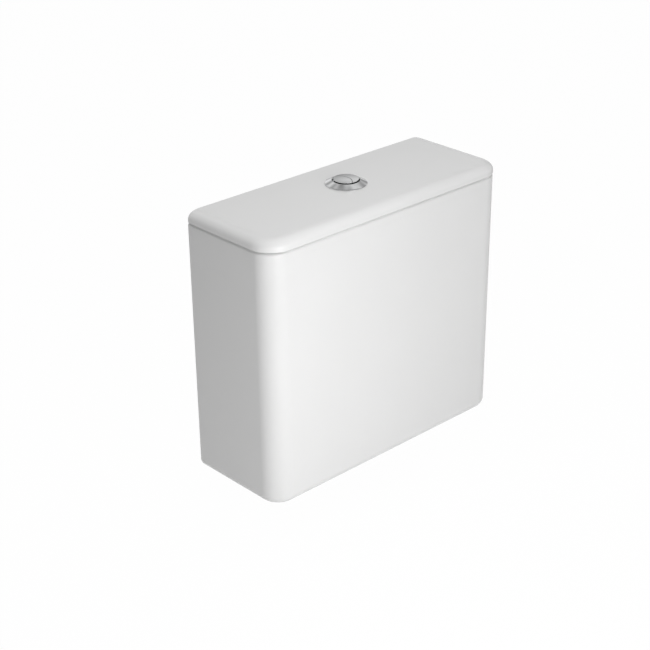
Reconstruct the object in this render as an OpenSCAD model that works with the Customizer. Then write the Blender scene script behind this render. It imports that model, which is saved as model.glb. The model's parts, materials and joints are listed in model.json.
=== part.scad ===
// Close-coupled toilet cistern in vitreous china: tank, lift-off lid, dual push button, two-level flush
// valve, bottom-entry fill valve and the bolts that hold it to the pan.
// Origin: the outlet's axis in the plane of the tank's underside. +Z is up, -Y is the front, +Y the wall.

/* [Tank] */
// Outer width at the rim
tank_w = 372; // [340:1:420]
// Outer width at the underside
base_w = 369; // [340:1:420]
// Outer depth, front to back
tank_d = 138.5; // [132:0.5:200]
// Height of the rim above the underside
tank_h = 315.5; // [295:0.5:390]
// Distance from the outlet's axis to the back face
outlet_to_back = 62; // [60:0.5:90]
// Thickness of the walls
wall = 9; // [7:0.5:12]
// Thickness of the floor
floor_t = 12; // [9:0.5:15]
// Plan radius of the two front corners
corner_r = 25.5; // [22:0.5:40]
// Plan radius of the two back corners
back_r = 3; // [1.5:0.5:6]
// Plan radius of the front corners on the inside
inner_front_r = 25; // [20:0.5:32]
// Plan radius of the back corners on the inside
inner_back_r = 8; // [5:0.5:12]
// Rounding of the bottom edge
base_r = 11; // [6:0.5:15]
// Rounding of the rim's outer edge
rim_r = 3; // [2:0.5:6]
// Rounding between the inner walls and the floor
inner_r = 12; // [6:0.5:16]

/* [Lid] */
// Height of the lid above its seat on the rim
lid_h = 14.4; // [13.6:0.1:20]
// Thickness of the lid's top
lid_t = 10.5; // [8:0.5:12]
// Overhang past the tank at the front and the ends
lid_over = 1.5; // [0.5:0.5:5]
// Distance that the lid stops short of the back face
lid_back_gap = 0.5; // [0.5:0.5:3]
// Width of the soft rounding along the top edge
lid_round_w = 15; // [8:0.5:20]
// Height of the soft rounding along the top edge
lid_round_h = 9.5; // [6:0.5:11]
// Rounding of the top edge at the back
lid_back_r = 3; // [1:0.5:5]
// Upright rounding of the lid's back corners
lid_back_corner_r = 6; // [3:0.5:8]
// Rounding of the lower edge
lid_edge_r = 2; // [1:0.5:3.5]
// Depth of the rib that locates the lid in the tank
rib_h = 6; // [4:0.5:10]
// Width of the locating rib
rib_w = 6; // [4:0.5:8]

/* [Push button] */
// Outer diameter of the bezel
bezel_d = 50; // [47:0.5:56]
// Height of the bezel above the lid
bezel_h = 5; // [4:0.1:6]
// Height of the bezel's upright outer edge
bezel_edge = 1; // [0.6:0.1:1.5]
// Diameter of the two-part button
button_d = 30; // [29:0.2:31]
// Gap round the button in the bezel
button_gap = 1; // [0.6:0.05:1.2]
// Height of the button's edge above the lid
button_rise = 6.3; // [5:0.1:7]
// Height of the button's crown above its edge
button_crown = 0.6; // [0.4:0.1:1.5]
// Radius of the curved split between the two buttons
split_r = 18.5; // [17:0.1:20]
// Distance from the button's axis to the centre of the split's arc
split_offset = 16; // [14:0.1:17.5]
// Travel of each button
press_travel = 7; // [6:0.5:7]
// Outer diameter of the threaded sleeve
sleeve_d = 40; // [39.5:0.5:41]
// Wall of the sleeve
sleeve_wall = 1.6; // [1.4:0.1:1.8]
// Length of the sleeve below the top of the lid
sleeve_l = 44; // [42:0.5:50]
// Thickness of the lip that keeps the buttons in
lip_t = 4; // [3:0.5:5]
// Length of the buttons' skirts below the lip
skirt_l = 19; // [15:0.5:20]
// Thickness of the plate under the springs
plate_t = 3; // [2:0.5:4]
// Thickness of the ledge that carries the plate
ledge_t = 2; // [1.5:0.5:3]
// Diameter of the push rods
rod_d = 4; // [3:0.2:4.6]
// Distance of the push rods from the button's axis
rod_x = 10; // [9.5:0.1:11]
// Length of push rod screwed into a button
rod_socket = 10; // [6:0.5:14]
// Mean diameter of the return springs
spring_d = 6.4; // [6:0.1:7]
// Wire of the return springs
spring_wire = 0.9; // [0.6:0.1:1]
// Curls of a return spring
spring_curls = 6; // [4:1:7]
// Diameter of the nut under the lid
lid_nut_d = 56; // [50:1:62]
// Height of the nut under the lid
lid_nut_h = 9; // [6:0.5:12]
// Thickness of the washer under the lid
lid_washer_t = 1.5; // [1:0.5:3]

/* [Flush valve] */
// Outer diameter of the threaded tail
tail_d = 60; // [56:0.5:62]
// Bore of the outlet
outlet_d = 51; // [45:0.5:53]
// Length of the tail below the underside
tail_l = 30; // [26:0.5:40]
// Diameter of the seat's flange
seat_d = 88; // [84:1:94]
// Thickness of the seat's flange
seat_t = 5; // [4:0.5:8]
// Height of the sealing lip above the flange
lip_h = 6; // [4:0.5:8]
// Outer diameter of the sealing lip
seat_lip_d = 62; // [60:0.5:64]
// Thickness of the washer under the flange
seat_washer_t = 3; // [2:0.5:5]
// Diameter of the nut on the tail
tail_nut_d = 84; // [78:1:90]
// Height of the nut on the tail
tail_nut_h = 12; // [10:0.5:14]
// Outer diameter of the gasket between tank and pan
gasket_d = 110; // [104:1:116]
// Diameter of the gasket's lower end
gasket_tip_d = 76; // [70:1:84]
// Thickness of the gasket between tank and pan
gasket_h = 25; // [22:0.5:29]
// Height of the gasket's upright edge
gasket_edge = 9; // [5:0.5:12]
// Outer diameter of the canister
canister_d = 56; // [54:0.5:57]
// Wall of the canister and the overflow tube
canister_wall = 2; // [1.5:0.1:2.5]
// Thickness of the two flush seals
seal_t = 4; // [3:0.5:5]
// Outer diameter of the canister's seal
seal_d = 66; // [65:0.5:70]
// Height of the half-flush shelf above the canister's foot
shelf_rise = 66; // [50:1:80]
// Opening in the half-flush shelf
shelf_d = 34; // [32:0.5:38]
// Thickness of the half-flush shelf
shelf_t = 4; // [3:0.5:6]
// Thickness of the canister's foot and the half-flush disc
foot_t = 4; // [3:0.5:6]
// Overlap of the half-flush seal on its shelf
shelf_bite = 5.5; // [4:0.5:6]
// Height of the half-flush windows
window_h = 32; // [20:1:40]
// Width of the half-flush windows
window_w = 24; // [16:1:26]
// Outer diameter of the overflow tube
tube_d = 24; // [20:0.5:26]
// Length of the overflow tube below the shelf
tube_drop = 30; // [20:1:40]
// Outer diameter of the cage
cage_d = 84; // [80:1:86]
// Thickness of the cage's ribs and rings
cage_t = 5; // [4:0.5:6]
// Height of the cage above the flange
cage_h = 68; // [60:1:74]
// Ribs of the cage
cage_ribs = 6; // [5:1:8]
// Distance of the levers' pivots from the valve's axis
pivot_x = 26; // [25:0.5:28]
// Level of the levers' pivots below the rim
lever_drop = 65.5; // [62.5:0.5:75.5]
// Length of a lever's lifting arm
lift_arm = 24; // [20:0.5:26]
// Length of a lever from its pivot to its inner end
press_arm = 20; // [19:0.5:21]
// Thickness of the levers
lever_t = 5; // [4:0.5:6]
// Width of the levers and the lifting hooks
lever_w = 10; // [8:0.5:12]
// Thickness of the lifting hooks
hook_t = 5; // [4:0.5:6]
// Diameter of the lever and float pins
pin_d = 4; // [3:0.2:5]
// Wall of the levers' hubs round the pins
hub_wall = 2.5; // [1.5:0.5:3]
// Thickness of the frame's side plates
side_t = 4; // [3:0.5:6]

/* [Fill valve] */
// Distance of the fill valve's axis from the tank's left end
fill_inset = 59.5; // [55:0.5:66]
// Diameter of the threaded inlet
shank_d = 20.8; // [18:0.1:22]
// Bore of the inlet
shank_bore = 12.4; // [10:0.2:13]
// Length of the inlet below the underside
shank_l = 40; // [35:1:55]
// Height of the nut on the inlet
fill_nut_h = 9; // [7:0.5:12]
// Thickness of the fill valve's nuts at their corners
nut_wall = 8; // [6:0.5:9]
// Diameter of the flange inside the tank
fill_flange_d = 34; // [32:0.5:40]
// Thickness of the flange inside the tank
fill_flange_t = 4; // [3:0.5:6]
// Height of the riser's socket above the flange
boss_h = 17; // [14:0.5:20]
// Wall of the riser's socket
boss_wall = 5; // [3:0.5:6]
// Height of the nut on the riser
riser_nut_h = 10; // [8:0.5:14]
// Diameter of the riser
riser_d = 16; // [15:0.5:17]
// Wall of the riser
riser_wall = 2.5; // [1.5:0.1:3]
// Diameter of the valve head
head_d = 32; // [28:1:36]
// Height of the valve head
head_h = 34; // [28:1:40]
// Length of riser inside the valve head
head_socket = 8; // [6:0.5:10]
// Height of the cap on the valve head
cap_h = 10; // [8:0.5:12]
// Level of the float lever's pivot below the rim
float_drop = 53.5; // [52.5:0.5:65.5]
// Height of the float lever's pivot above the cap
pivot_rise = 10; // [8:0.5:14]
// Thickness of the ears that carry the float lever
ear_t = 3; // [2:0.5:4]
// Diameter of the float
float_d = 56; // [48:1:60]
// Height of the float
float_h = 50; // [35:1:60]
// Skin of the float
float_skin = 2; // [1.5:0.5:3]
// Depth of the float rod's socket
float_socket = 10; // [8:0.5:14]
// Wall of the float rod's socket
float_boss_wall = 3; // [2:0.5:4]
// Travel of the float
float_travel = 14; // [10:0.5:14]
// Length of the float lever from its pivot to the float rod
float_arm = 40; // [38:0.5:44]
// Distance of the float lever's pivot from the valve's axis
float_pivot = 14; // [13:0.5:15]
// Droop of the float lever with the float down, in degrees
float_droop = 10; // [8:0.5:11]
// Diameter of the float rod
float_rod_d = 4; // [3:0.2:4.6]
// Diameter of the float rod's collars
collar_d = 9; // [8:0.5:10]
// Thickness of the float rod's collars
collar_t = 3; // [2:0.5:4]

/* [Fixings] */
// Distance between the two bolts
bolt_spacing = 150; // [142:1:160]
// Diameter of the bolts
bolt_d = 8; // [6:0.5:8]
// Length of the bolts below the underside
bolt_l = 48; // [42:1:60]
// Diameter of the bolts' heads
bolt_head_d = 18; // [16:0.5:20]
// Height of the bolts' heads
bolt_head_h = 5; // [4:0.5:7]
// Diameter of the rubber washers under the bolts' heads
bolt_seal_d = 26; // [22:0.5:28]
// Thickness of the rubber washers under the bolts' heads
bolt_seal_t = 5; // [3:0.5:7]
// Depth of the rubber washers' spigots in the floor
bolt_spigot = 6; // [3:0.5:8]
// Diameter of the bolts' washers
bolt_washer_d = 24; // [20:0.5:28]
// Thickness of the bolts' washers
bolt_washer_t = 2; // [1.5:0.5:3]
// Diameter of the bolts' nuts across the corners
bolt_nut_d = 15; // [13:0.5:17]
// Height of the bolts' nuts
bolt_nut_h = 6.5; // [5:0.5:8]

/* [Clearances] */
// Gap between a moving piece and what it rests on
seat_gap = 0.3; // [0.2:0.05:0.5]
// Gap round a piece that slides in a guide
slide_gap = 0.5; // [0.3:0.05:0.7]
// Radial play of a hinge pin
pin_play = 0.06; // [0.02:0.01:0.1]
// Radial play of a piece pushed into a socket
socket_play = 0.1; // [0.05:0.05:0.2]
// Radial room round a bolt, shank or tail in the china
hole_room = 2; // [1:0.25:2.5]
// Gap between the lid's rib and the tank's walls
rib_gap = 1.5; // [1:0.25:3]
// Room between the valves' pieces at the ends of their travel
travel_room = 4; // [3:0.5:6]
// Gap between a lever's outer end and the upright of its hook
hook_gap = 3; // [2:0.5:5]

/* [Hidden] */

$fn = 72;
corner_steps = 9;
edge_steps = 3;
round_steps = 7;
wire_sides = 6;
curl_rings = 8;
overlap = 1;

// Finger grips of the round nuts
grip_w = 7;
grip_l = 5;
grip_proud = 2;

// Length that the pins stand out of what carries them
pin_end = 0.5;

front_y = outlet_to_back - tank_d;
back_y = outlet_to_back;

// Levels of the lid
seat_z = tank_h + seat_gap;
lid_top = seat_z + lid_h;
lid_under = lid_top - lid_t;

// Push button
bezel_r = bezel_d / 2;
button_r = button_d / 2;
button_hole_r = button_r + button_gap;
sleeve_r = sleeve_d / 2;
sleeve_in = sleeve_r - sleeve_wall;
rod_r = rod_d / 2;
plate_z = lid_top - sleeve_l + ledge_t;
skirt_top = lid_top - lip_t - seat_gap;
skirt_z = skirt_top - skirt_l;

// Flush valve, from the floor up
flange_z = floor_t + seat_washer_t;
cage_z = flange_z + seat_t;
seat_lip_z = cage_z + lip_h;
seal_z = seat_lip_z + seat_gap;
canister_z = seal_z + seal_t;
canister_r = canister_d / 2;
canister_in = canister_r - canister_wall;
foot_lip = 3;
guide_wall = 3;
shelf_z = canister_z + shelf_rise;
half_seal_z = shelf_z + shelf_t + seat_gap;
disc_z = half_seal_z + seal_t;
disc_r = shelf_d / 2 + shelf_bite;
tube_r = tube_d / 2;
lever_z = tank_h - lever_drop;
lever_top = lever_z + lever_t / 2;
// Turn at which a lever just clears the tip of its pressed rod, with half a degree to spare
rod_arm = pivot_x - rod_x;
tip_rise = seat_gap + lever_t / 2 + rod_r - press_travel;
lever_angle = asin((lever_t / 2 + rod_r) / norm([rod_arm, tip_rise])) - atan2(tip_rise, rod_arm) + 0.5;
lift = lift_arm * lever_angle * PI / 180;
press_dip = press_arm * sin(lever_angle) + lever_t / 2;
tube_top = lever_z - press_dip - 2 * lift - travel_room;
tube_hook_z = tube_top - hook_t - travel_room;
canister_top = tube_hook_z - hook_t - travel_room;
guide_z = canister_top - hook_t;
hook_x = pivot_x + lift_arm + hook_gap;
deck_z = cage_z + cage_h;
side_y = canister_r + overlap + slide_gap;

// Fill valve
fill_x = base_w / 2 - fill_inset;
pivot_z = tank_h - float_drop;
cap_z = pivot_z - pivot_rise - cap_h;
head_z = cap_z - head_h;
float_top = head_z - float_travel - travel_room;
riser_r = riser_d / 2;
fill_flange_z = floor_t + seat_washer_t;
boss_z = fill_flange_z + fill_flange_t;
socket_z = boss_z + boss_wall;
rod_reach = float_arm * cos(float_droop);
rod_offset = rod_reach - float_pivot;

// Arc of points about a centre
function arc(cx, cy, r, from, to, n) =
    [for (i = [0:n]) let (a = from + (to - from) * i / n) [cx + r * cos(a), cy + r * sin(a)]];

// Plan outline with front corners of radius rf and back corners of radius rb
function plan(w, front, back, rf, rb) = concat(
    arc(w / 2 - rf, front + rf, rf, -90, 0, corner_steps),
    arc(w / 2 - rb, back - rb, rb, 0, 90, edge_steps),
    arc(rb - w / 2, back - rb, rb, 90, 180, edge_steps),
    arc(rf - w / 2, front + rf, rf, 180, 270, corner_steps));

function at_level(points, z) = [for (p = points) [p[0], p[1], z]];

// Width of the tank at a height
function width_at(z) = base_w + (tank_w - base_w) * min(z, tank_h) / tank_h;

// Outline of the tank at a height, drawn in by inset and, at the back, by back_inset
function tank_plan(z, inset, back_inset, rb) =
    plan(width_at(z) - 2 * inset, front_y + inset, back_y - back_inset, max(corner_r - inset, 2), rb);

// Outline of the hollow at a height, drawn in from the outer faces by inset
function inner_plan(z, inset) =
    plan(width_at(z) - 2 * inset, front_y + inset, back_y - inset, max(inner_front_r + wall - inset, 2),
        inner_back_r);

// Outline of the lid, drawn in the same way
function lid_plan(inset, back_inset) =
    plan(tank_w + 2 * (lid_over - inset), front_y - lid_over + inset, back_y - lid_back_gap - back_inset,
        max(corner_r + lid_over - inset, 2), max(lid_back_corner_r - back_inset, 0.5));

// Solid through a stack of outlines with equal numbers of points, lowest first
module loft(rings) {
    n = len(rings[0]);
    m = len(rings);
    sides = [for (k = [0:m - 2], i = [0:n - 1]) let (j = (i + 1) % n) each [
        [k * n + i, (k + 1) * n + i, (k + 1) * n + j],
        [k * n + i, (k + 1) * n + j, k * n + j]
    ]];
    bottom = [for (i = [0:n - 1]) i];
    top = [for (i = [n - 1:-1:0]) (m - 1) * n + i];
    polyhedron([for (ring = rings) each ring], concat(sides, [bottom, top]), convexity = 6);
}

// Upright ring or disc
module ring(r_out, r_in, z, h) {
    translate([0, 0, z]) difference() {
        cylinder(h = h, r = r_out);
        translate([0, 0, -overlap]) cylinder(h = h + 2 * overlap, r = r_in);
    }
}

// Upright hexagon nut, measured across its corners
module hex_nut(d, hole_d, z, h) {
    translate([0, 0, z]) difference() {
        cylinder(h = h, d = d, $fn = 6);
        translate([0, 0, -overlap]) cylinder(h = h + 2 * overlap, d = hole_d);
    }
}

// Round nut with finger grips
module grip_nut(d, hole_r, z, h, grips) {
    ring(d / 2 - grip_proud, hole_r, z, h);
    for (k = [0:grips - 1]) rotate(360 * k / grips)
        translate([d / 2 - grip_l, -grip_w / 2, z]) cube([grip_l, grip_w, h]);
}

module at_bolts() {
    for (side = [-1, 1]) translate([side * bolt_spacing / 2, 0, 0]) children();
}

module at_fill() {
    translate([-fill_x, 0, 0]) children();
}

// Tank: slip-cast china with an open top and holes for the outlet, the bolts and the inlet
module tank() {
    outer = concat(
        [for (i = [0:round_steps]) let (a = 90 * i / round_steps, z = base_r * (1 - cos(a)))
            at_level(tank_plan(z, base_r * (1 - sin(a)), back_r * (1 - sin(a)), back_r), z)],
        [for (i = [0:round_steps]) let (a = 90 * i / round_steps, z = tank_h - rim_r * (1 - sin(a)))
            at_level(tank_plan(z, rim_r * (1 - cos(a)), 0, back_r), z)]);
    inner = concat(
        [for (i = [0:round_steps])
            let (a = 90 * i / round_steps, in = inner_r * (1 - sin(a)), z = floor_t + inner_r * (1 - cos(a)))
            at_level(inner_plan(z, wall + in), z)],
        [at_level(inner_plan(tank_h, wall), tank_h + overlap)]);
    color("white") difference() {
        loft(outer);
        loft(inner);
        translate([0, 0, -overlap]) cylinder(h = floor_t + 2 * overlap, d = tail_d + 2 * hole_room);
        at_bolts() translate([0, 0, -overlap]) cylinder(h = floor_t + 2 * overlap, d = bolt_d + 2 * hole_room);
        at_fill() translate([0, 0, -overlap]) cylinder(h = floor_t + 2 * overlap, d = shank_d + 2 * hole_room);
    }
}

// Lid: hollow underneath, with a rib that drops inside the rim
module lid() {
    rings = concat(
        [for (i = [0:round_steps]) let (a = 90 * i / round_steps)
            at_level(lid_plan(lid_edge_r * (1 - sin(a)), 0), seat_z + lid_edge_r * (1 - cos(a)))],
        [for (i = [0:round_steps]) let (a = 90 * i / round_steps)
            at_level(lid_plan(lid_round_w * (1 - cos(a)), lid_back_r * (1 - cos(a))),
                lid_top - lid_round_h * (1 - sin(a)))]);
    rib_in = wall + rib_gap;
    hollow_in = rib_in + rib_w;
    color("white") difference() {
        union() {
            loft(rings);
            translate([0, 0, seat_z - rib_h]) linear_extrude(rib_h + overlap)
                polygon(inner_plan(tank_h, rib_in));
        }
        translate([0, 0, seat_z - rib_h - overlap]) linear_extrude(lid_under - seat_z + rib_h + overlap)
            polygon(inner_plan(tank_h, hollow_in));
        translate([0, 0, lid_under - overlap]) cylinder(h = lid_t + 2 * overlap, r = sleeve_r + hole_room / 2);
    }
}

// Bezel: flared flange on the lid, with the threaded sleeve in one piece
module button_bezel() {
    edge = 0.5;
    color("silver") translate([0, 0, lid_top]) rotate_extrude() polygon([
        [button_hole_r, -lip_t],
        [sleeve_in, -lip_t],
        [sleeve_in, ledge_t - sleeve_l],
        [sleeve_in - ledge_t, ledge_t - sleeve_l],
        [sleeve_in - ledge_t, -sleeve_l],
        [sleeve_r, -sleeve_l],
        [sleeve_r, 0],
        [bezel_r, 0],
        [bezel_r, bezel_edge],
        [button_hole_r + 2 * edge, bezel_h],
        [button_hole_r, bezel_h - edge]
    ]);
}

module lid_washer() {
    color("dimgray") translate([0, 0, lid_under - lid_washer_t])
        ring(lid_nut_d / 2 - grip_proud, sleeve_r + socket_play, 0, lid_washer_t);
}

module lid_nut() {
    color("whitesmoke")
        grip_nut(lid_nut_d, sleeve_r + socket_play, lid_under - lid_washer_t - lid_nut_h, lid_nut_h, 6);
}

// Plate that closes the sleeve, carries the springs and guides the push rods
module spring_plate() {
    color("whitesmoke") difference() {
        ring(sleeve_in - socket_play, rod_x - spring_d, plate_z, plate_t);
        for (side = [-1, 1]) translate([side * rod_x, 0, plate_z - overlap])
            cylinder(h = plate_t + 2 * overlap, r = rod_r + slide_gap);
    }
}

// Button before it is split: a crowned cap on a wider skirt, with the sockets of both push rods
module button_blank() {
    crown_r = (button_r * button_r + button_crown * button_crown) / (2 * button_crown);
    top = lid_top + button_rise + button_crown;
    difference() {
        union() {
            intersection() {
                translate([0, 0, skirt_top - overlap])
                    cylinder(h = top - skirt_top + 2 * overlap, r = button_r);
                translate([0, 0, top - crown_r]) sphere(r = crown_r);
            }
            translate([0, 0, skirt_z]) cylinder(h = skirt_l, r = sleeve_in - slide_gap);
        }
        for (side = [-1, 1]) translate([side * rod_x, 0, skirt_z - overlap])
            cylinder(h = rod_socket + overlap, r = rod_r + socket_play);
    }
}

// Upright round cutter along the split, grown by a gap
module split_cutter(gap) {
    translate([-split_offset, 0, skirt_z - overlap])
        cylinder(h = skirt_l + lip_t + button_rise + button_crown + 4 * overlap, r = split_r + gap);
}

module full_button() {
    color("silver") intersection() {
        button_blank();
        split_cutter(0);
    }
}

module half_button() {
    color("silver") difference() {
        button_blank();
        split_cutter(slide_gap);
    }
}

// Push rod with a round tip, from its lever up into its button
module push_rod(side) {
    tip_z = lever_top + seat_gap + rod_r;
    translate([side * rod_x, 0, tip_z]) {
        cylinder(h = skirt_z + rod_socket - socket_play - tip_z, r = rod_r);
        sphere(r = rod_r);
    }
}

module full_push_rod() {
    color("dodgerblue") push_rod(-1);
}

module half_push_rod() {
    color("dodgerblue") push_rod(1);
}

// Return spring round a push rod: one wire swept along a helix
spring_low = plate_z + plate_t + spring_wire / 2 + seat_gap;
spring_high = skirt_z - spring_wire / 2 - seat_gap;
spring_path = [for (i = [0:spring_curls * curl_rings]) let (a = 360 * i / curl_rings)
    [spring_d / 2 * cos(a), spring_d / 2 * sin(a),
        spring_low + (spring_high - spring_low) * i / (spring_curls * curl_rings)]];
spring_self_gap = min([for (i = [0:len(spring_path) - curl_rings - 1])
    norm(spring_path[i + curl_rings] - spring_path[i])]) - spring_wire;
echo(spring_self_gap = spring_self_gap);
echo(lever_angle = lever_angle, lift = lift, lever_z = lever_z, pivot_z = pivot_z);

module return_spring(side) {
    rings = [for (i = [0:len(spring_path) - 1]) let (a = 360 * i / curl_rings, p = spring_path[i])
        [for (k = [0:wire_sides - 1]) let (b = 360 * k / wire_sides, out = spring_wire / 2 * cos(b))
            [p[0] + out * cos(a), p[1] + out * sin(a), p[2] - spring_wire / 2 * sin(b)]]];
    translate([side * rod_x, 0, 0]) loft(rings);
}

module full_spring() {
    color("lightsteelblue") return_spring(-1);
}

module half_spring() {
    color("lightsteelblue") return_spring(1);
}

// Seat: flange on the floor, sealing lip above it and threaded tail below, with one straight bore
module valve_seat() {
    color("whitesmoke") difference() {
        union() {
            translate([0, 0, -tail_l]) cylinder(h = tail_l + flange_z + overlap, d = tail_d);
            translate([0, 0, flange_z]) cylinder(h = seat_t, d = seat_d);
            translate([0, 0, cage_z - overlap]) cylinder(h = lip_h + overlap, d = seat_lip_d);
        }
        translate([0, 0, -tail_l - overlap]) cylinder(h = tail_l + seat_lip_z + 2 * overlap, d = outlet_d);
    }
}

module seat_washer() {
    color("dimgray") ring(seat_d / 2, tail_d / 2 + socket_play, floor_t, seat_washer_t);
}

module tail_nut() {
    color("gainsboro") grip_nut(tail_nut_d, tail_d / 2 + socket_play, -tail_nut_h, tail_nut_h, 8);
}

// Gasket over the nut, squeezed between the tank and the pan
module pan_gasket() {
    nut_r = tail_nut_d / 2 + seat_gap;
    tail_r = tail_d / 2 + seat_gap;
    step_z = -tail_nut_h - seat_gap;
    mouth_w = 3;
    mouth_h = 4;
    color("dimgray") rotate_extrude() polygon([
        [nut_r, 0],
        [gasket_d / 2, 0],
        [gasket_d / 2, -gasket_edge],
        [gasket_tip_d / 2, -gasket_h],
        [tail_r + mouth_w, -gasket_h],
        [tail_r, mouth_h - gasket_h],
        [tail_r, step_z],
        [nut_r, step_z]
    ]);
}

// Cage: foot ring, ribs and a deck that guides the canister
module valve_cage() {
    r = cage_d / 2;
    rib_t = 9;
    rib_inset = 0.4;
    color("gainsboro") {
        ring(r, r - cage_t, cage_z, cage_t);
        ring(r, canister_r + slide_gap, deck_z - cage_t, cage_t);
        for (k = [0:cage_ribs - 1]) rotate(360 * (k + 0.5) / cage_ribs)
            translate([r - cage_t, -rib_t / 2, cage_z + overlap])
                cube([cage_t - rib_inset, rib_t, cage_h - 2 * overlap]);
    }
}

// Frame on the cage's deck: two side plates that carry the levers' pins
module valve_frame() {
    post_w = 18;
    rail_end = 7;
    rail_l = 2 * (pivot_x + rail_end);
    rail_h = 12;
    color("lightgray") difference() {
        union() {
            ring(side_y + side_t, canister_r + slide_gap, deck_z, cage_t);
            for (side = [-1, 1]) translate([0, side * (side_y + side_t / 2), 0]) {
                translate([-post_w / 2, -side_t / 2, deck_z + overlap])
                    cube([post_w, side_t, lever_z - deck_z - overlap]);
                translate([-rail_l / 2, -side_t / 2, lever_z - rail_h / 2]) cube([rail_l, side_t, rail_h]);
            }
        }
        for (side = [-1, 1]) translate([side * pivot_x, 0, lever_z]) rotate([90, 0, 0])
            cylinder(h = 2 * (side_y + side_t + overlap), d = pin_d + 2 * pin_play, center = true);
    }
}

// Hook that reaches round a lever's outer end: arm, upright and finger
module lift_hook(z, from_x) {
    finger_z = lever_top + seat_gap;
    finger_l = 12;
    translate([from_x, -lever_w / 2, z]) cube([hook_x + hook_t - from_x, lever_w, hook_t]);
    translate([hook_x, -lever_w / 2, z]) cube([hook_t, lever_w, finger_z + hook_t - z]);
    translate([hook_x + hook_t - finger_l, -lever_w / 2, finger_z]) cube([finger_l, lever_w, hook_t]);
}

// Foot of the canister, which presses the seal on the lip
module canister_foot() {
    color("aliceblue") ring(seal_d / 2 - slide_gap, canister_in - foot_lip, canister_z, foot_t);
}

// Lower tube of the canister, between its foot and the half-flush seat
module canister_skirt() {
    color("aliceblue") ring(canister_r, canister_in, canister_z + foot_t, shelf_rise - foot_t);
}

// Ring held between the canister's two tubes, which the half-flush seal closes
module half_flush_seat() {
    color("aliceblue") ring(canister_r, shelf_d / 2, shelf_z, shelf_t);
}

// Upper tube of the canister, with windows above the half-flush seat
module canister() {
    low = shelf_z + shelf_t;
    color("aliceblue") difference() {
        ring(canister_r, canister_in, low, guide_z - low);
        for (k = [0:3]) rotate(45 + 90 * k)
            translate([canister_in - 2 * overlap, -window_w / 2, disc_z + 2 * foot_t])
                cube([canister_wall + 4 * overlap, window_w, window_h]);
    }
}

// Cap of the canister: rim, guide round the overflow tube, and the hook that the full-flush lever lifts
module canister_cap() {
    guide_in = tube_r + slide_gap;
    spoke_w = 3;
    color("aliceblue") {
        ring(canister_r, canister_in, guide_z, hook_t);
        ring(guide_in + guide_wall, guide_in, guide_z, hook_t);
        for (k = [0:3]) rotate(45 + 90 * k)
            translate([guide_in + overlap, -spoke_w / 2, guide_z])
                cube([canister_in - guide_in, spoke_w, hook_t]);
        mirror([1, 0, 0]) lift_hook(guide_z, canister_r - canister_wall / 2);
    }
}

module canister_seal() {
    color("dimgray") ring(seal_d / 2, outlet_d / 2 - foot_lip, seal_z, seal_t);
}

// Overflow tube with the disc that closes the shelf, lifted by the half-flush lever
module overflow_tube() {
    tube_in = tube_r - canister_wall;
    tube_z = shelf_z - tube_drop;
    color("powderblue") {
        ring(tube_r, tube_in, tube_z, tube_top - tube_z);
        ring(disc_r, tube_r - canister_wall / 2, disc_z, foot_t);
        lift_hook(tube_hook_z, tube_r - canister_wall / 2);
    }
}

module half_flush_seal() {
    color("dimgray") ring(disc_r, tube_r + socket_play, half_seal_z, seal_t);
}

// Lever on a long hub: the inner end takes the push rod, the outer end lifts a hook
module lever(side) {
    hub_r = pin_d / 2 + hub_wall;
    translate([side * pivot_x, 0, lever_z]) difference() {
        union() {
            rotate([90, 0, 0]) cylinder(h = 2 * (side_y - slide_gap), r = hub_r, center = true);
            mirror([side < 0 ? 1 : 0, 0, 0]) translate([-press_arm, -lever_w / 2, -lever_t / 2])
                cube([press_arm + lift_arm, lever_w, lever_t]);
        }
        rotate([90, 0, 0]) cylinder(h = 2 * side_y, d = pin_d + 2 * pin_play, center = true);
    }
}

module full_lever() {
    color("royalblue") lever(-1);
}

module half_lever() {
    color("mediumseagreen") lever(1);
}

module lever_pins() {
    color("silver") for (side = [-1, 1]) translate([side * pivot_x, 0, lever_z]) rotate([90, 0, 0])
        cylinder(h = 2 * (side_y + side_t + pin_end), d = pin_d, center = true);
}

// Foot of the fill valve: inlet with a plain neck in the floor, flange and the socket of the riser
module fill_base() {
    neck_d = shank_d - 4 * socket_play;
    color("whitesmoke") at_fill() difference() {
        union() {
            translate([0, 0, -shank_l]) cylinder(h = shank_l - fill_nut_h, d = shank_d);
            translate([0, 0, -fill_nut_h - overlap])
                cylinder(h = fill_nut_h + fill_flange_z + 2 * overlap, d = neck_d);
            translate([0, 0, fill_flange_z]) cylinder(h = fill_flange_t, d = fill_flange_d);
            translate([0, 0, fill_flange_z]) cylinder(h = fill_flange_t + boss_h, r = riser_r + boss_wall);
        }
        translate([0, 0, -shank_l - overlap])
            cylinder(h = shank_l + boss_z + boss_h, d = shank_bore);
        translate([0, 0, socket_z]) cylinder(h = boss_h + fill_flange_t, r = riser_r + socket_play);
    }
}

module fill_washer() {
    color("dimgray") at_fill() ring(fill_flange_d / 2, shank_d / 2 + socket_play, floor_t, seat_washer_t);
}

module fill_nut() {
    color("gainsboro") at_fill()
        hex_nut(shank_d + 2 * nut_wall, shank_d + 2 * socket_play, -fill_nut_h, fill_nut_h);
}

// Filter pushed up the inlet: a slotted cup
module inlet_filter() {
    r = shank_bore / 2 - socket_play;
    filter_h = 15;
    skin = 1.2;
    slot_w = 1.6;
    rim = 4;
    color("orange") at_fill() translate([0, 0, skin - shank_l]) difference() {
        cylinder(h = filter_h, r = r);
        translate([0, 0, -overlap]) cylinder(h = filter_h + overlap - skin, r = r - skin);
        for (k = [0:2]) rotate(60 * k) translate([-r - overlap, -slot_w / 2, rim])
            cube([2 * (r + overlap), slot_w, filter_h - 2 * rim]);
    }
}

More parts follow.
